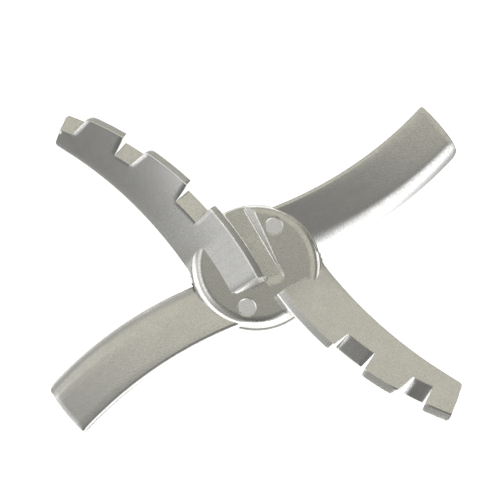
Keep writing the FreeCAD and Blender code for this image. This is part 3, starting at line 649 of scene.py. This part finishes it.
def turned_ring(name, profile, materials, count=160):
    """A body of revolution from closed (radius, height) corners, in millimetres."""
    loops = []
    for i in range(count):
        hx, hy = heading(360.0 * i / count)
        loops.append([(r * hx, r * hy, z) for r, z in profile])
    n = len(profile)
    verts = [tuple(0.001 * c for c in p) for loop in loops for p in loop]
    faces = []
    for i in range(count):
        j = (i + 1) % count
        for k in range(n):
            m = (k + 1) % n
            faces.append((i * n + k, j * n + k, j * n + m, i * n + m))
    mesh = bpy.data.meshes.new(name)
    mesh.from_pydata(verts, [], faces)
    for material in materials:
        mesh.materials.append(material)
    obj = bpy.data.objects.new(name, mesh)
    scene.collection.objects.link(obj)
    work = bmesh.new()
    work.from_mesh(mesh)
    bmesh.ops.recalc_face_normals(work, faces=work.faces)
    work.to_mesh(mesh)
    work.free()
    mesh.shade_smooth()
    mesh.set_sharp_from_angle(angle=math.radians(31))
    return obj


def join(objects, name):
    """One object from several, with their meshes put together."""
    work = bmesh.new()
    for obj in objects:
        work.from_mesh(obj.data)
    mesh = objects[0].data.copy()
    mesh.name = name
    work.to_mesh(mesh)
    work.free()
    result = bpy.data.objects.new(name, mesh)
    scene.collection.objects.link(result)
    for obj in objects:
        bpy.data.objects.remove(obj)
    return result


def build_blades(steels):
    for name, strip, root, turned in (("toothed_arm_a", LONG_STRIP, LONG_ROOT, False),
                                      ("toothed_arm_b", SHORT_STRIP, SHORT_ROOT, True)):
        arm = toothed_arm(name + "_sheet", strip, steels, turned, None if turned else 2)
        root_part = root_block(name + "_root", root, steels, turned)
        piece = join([arm, root_part], name + "_blade")
        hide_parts(name)
        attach(piece, "root")
    disc = turned_ring("disc", [(2.0, 23.4), (21.4, 23.4), (21.7, 23.5), (21.8, 23.8), (21.8, 24.5),
                                (21.7, 24.85), (21.4, 25.0), (2.0, 25.0)], steels)
    for polygon in disc.data.polygons:
        polygon.material_index = 2
    arms = [smooth_arm("smooth_left", steels, False), smooth_arm("smooth_right", steels, True)]
    piece = join([disc] + arms, "smooth_blade_sheet")
    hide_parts("smooth_blade")
    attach(piece, "root")


# ------------------------------------------------------------------ hub shapes, in millimetres
CAP_RADIUS, CAP_FLAT, CAP_DEPTH, CAP_SHEET = 21.4, 18.0, 3.0, 1.5
RAMP_START, RAMP_END = (7.6, -5.2), (-8.2, 21.6)
RIVET_PLACES = ((6.0, 13.3), (-3.0, -14.8))
RIVET_HEAD = 2.85


def smooth(low, high, value):
    t = min(1.0, max(0.0, (value - low) / (high - low)))
    return t * t * (3 - 2 * t)


def ramp_place(x, y):
    """Where a point lies on the pressed ramp: along it and to its right."""
    dx, dy = RAMP_END[0] - RAMP_START[0], RAMP_END[1] - RAMP_START[1]
    length = math.hypot(dx, dy)
    dx, dy = dx / length, dy / length
    px, py = x - RAMP_START[0], y - RAMP_START[1]
    return px * dx + py * dy, px * dy - py * dx, length


def ramp_edges(along):
    """The floor's right edge and the top of the right wall, at a distance along the ramp."""
    floor_right = 1.95 + 0.024 * along
    return floor_right, max(floor_right + 0.5, 2.1 + 0.126 * along)


def cap_height(x, y):
    """Height of the cap's skin above its flat."""
    r = math.hypot(x, y)
    height = 0.0
    if r > CAP_FLAT:
        t = min(1.0, (r - CAP_FLAT) / (CAP_RADIUS - CAP_FLAT))
        height = -CAP_DEPTH * (1 - math.sqrt(max(0.0, 1 - t ** 1.9)))
    along, right, length = ramp_place(x, y)
    floor_right, wall_right = ramp_edges(max(along, 0.0))
    depth = lerp(0.3, 1.45, min(1.1, max(0.0, along / length)))
    share = smooth(-4.3, -3.5, right)
    share *= 1 - smooth(floor_right, wall_right, right)
    share *= smooth(-1.6, 1.8, along - 0.25 * abs(right - 0.2))
    height = min(height, -depth * share)
    for place in RIVET_PLACES:
        away = math.hypot(x - place[0], y - place[1])
        height -= 0.3 * (1 - smooth(RIVET_HEAD - 0.1, RIVET_HEAD + 0.3, away))
    return height


def ramp_line(edge, start, end, materials):
    """A burnished raised line along one edge of the ramp's right wall, steeper on its right."""
    dx, dy = RAMP_END[0] - RAMP_START[0], RAMP_END[1] - RAMP_START[1]
    length = math.hypot(dx, dy)
    dx, dy = dx / length, dy / length
    steps = 60
    loops = []
    for i in range(steps + 1):
        along = lerp(start, end, i / steps)
        right = ramp_edges(along)[edge]
        taper = min(1.0, 0.25 + i / 16, 0.4 + (steps - i) / 4)
        beside = right + (0.4 if edge else -0.4)
        level = CAP_TOP * 1000 + cap_height(RAMP_START[0] + along * dx + beside * dy,
                                            RAMP_START[1] + along * dy - beside * dx)
        loop = []
        for aside, lift in ((-0.35, -0.5), (-0.35, 0.0), (0.24, 0.19), (0.32, 0.18), (0.36, -0.5)):
            near = right + aside * taper
            x = RAMP_START[0] + along * dx + near * dy
            y = RAMP_START[1] + along * dy - near * dx
            loop.append((x, y, level + lift * (taper if lift > 0 else 1.0)))
        loops.append(loop)
    return skin("ramp_line", loops, materials)


def build_hub(hub, rivet):
    turns = 720
    radii = [0.2 * i for i in range(1, 90)]
    radii += [CAP_FLAT + (CAP_RADIUS - CAP_FLAT) * math.sin(math.pi / 2 * i / 20) for i in range(1, 21)]
    top = CAP_TOP * 1000
    inside = CAP_RADIUS - CAP_SHEET
    under = [inside * i / 8 for i in range(8, 0, -1)]
    verts = [(0.0, 0.0, 0.001 * (top + cap_height(0.0, 0.0)))]
    rows = []
    for r in radii:
        row = []
        for k in range(turns):
            hx, hy = heading(360.0 * k / turns)
            row.append(len(verts))
            verts.append((0.001 * r * hx, 0.001 * r * hy, 0.001 * (top + cap_height(r * hx, r * hy))))
        rows.append(row)
    for r, depth in [(CAP_RADIUS, CAP_DEPTH), (inside, CAP_DEPTH)] + [(r, None) for r in under]:
        row = []
        for k in range(turns):
            hx, hy = heading(360.0 * k / turns)
            z = top - depth if depth else top + cap_height(r * hx * 0.98, r * hy * 0.98) - CAP_SHEET
            row.append(len(verts))
            verts.append((0.001 * r * hx, 0.001 * r * hy, 0.001 * z))
        rows.append(row)
    verts.append((0.0, 0.0, 0.001 * (top - CAP_SHEET)))
    faces = []
    for k in range(turns):
        m = (k + 1) % turns
        faces.append((0, rows[0][k], rows[0][m]))
        faces.append((len(verts) - 1, rows[-1][m], rows[-1][k]))
    for i in range(len(rows) - 1):
        for k in range(turns):
            m = (k + 1) % turns
            faces.append((rows[i][k], rows[i + 1][k], rows[i + 1][m]))
            faces.append((rows[i][k], rows[i + 1][m], rows[i][m]))
    mesh = bpy.data.meshes.new("hub_cap_skin")
    mesh.from_pydata(verts, [], faces)
    mesh.materials.append(hub)
    cap = bpy.data.objects.new("hub_cap_skin", mesh)
    scene.collection.objects.link(cap)
    work = bmesh.new()
    work.from_mesh(mesh)
    bmesh.ops.remove_doubles(work, verts=work.verts, dist=1e-6)
    bmesh.ops.recalc_face_normals(work, faces=work.faces)
    work.to_mesh(mesh)
    work.free()
    mesh.shade_smooth()
    mesh.set_sharp_from_angle(angle=math.radians(50))
    lines = [ramp_line(0, 3.4, 27.3, [hub]), ramp_line(1, 4.6, 26.9, [hub])]
    cap = join([cap] + lines, "hub_cap_pressing")
    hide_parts("hub_cap")
    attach(cap, "root")
    profile = [(0.02, 20.6), (2.6, 20.6), (3.0, 21.0), (3.0, 21.6), (2.0, 21.6), (2.0, 27.3), (2.85, 27.35),
               (2.85, 27.72), (2.82, 27.77), (2.74, 27.8), (2.0, 27.8), (0.02, 27.8)]
    for node, place in (("rivet_a", RIVET_PLACES[0]), ("rivet_b", RIVET_PLACES[1])):
        head = turned_ring(node + "_turned", profile, [rivet], 64)
        head.data.transform(Matrix.Translation((0.001 * place[0], 0.001 * place[1], 0)))
        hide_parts(node)
        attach(head, "root")


build_world()
build_floor()
build_camera()
blade_steel, hub_steel, rivet_steel, highlight_paint_steel, cut_steel = build_materials()
build_blades([blade_steel, highlight_paint_steel, cut_steel])
build_hub(hub_steel, rivet_steel)

scene.view_settings.view_transform = "Standard"
scene.view_settings.look = "None"
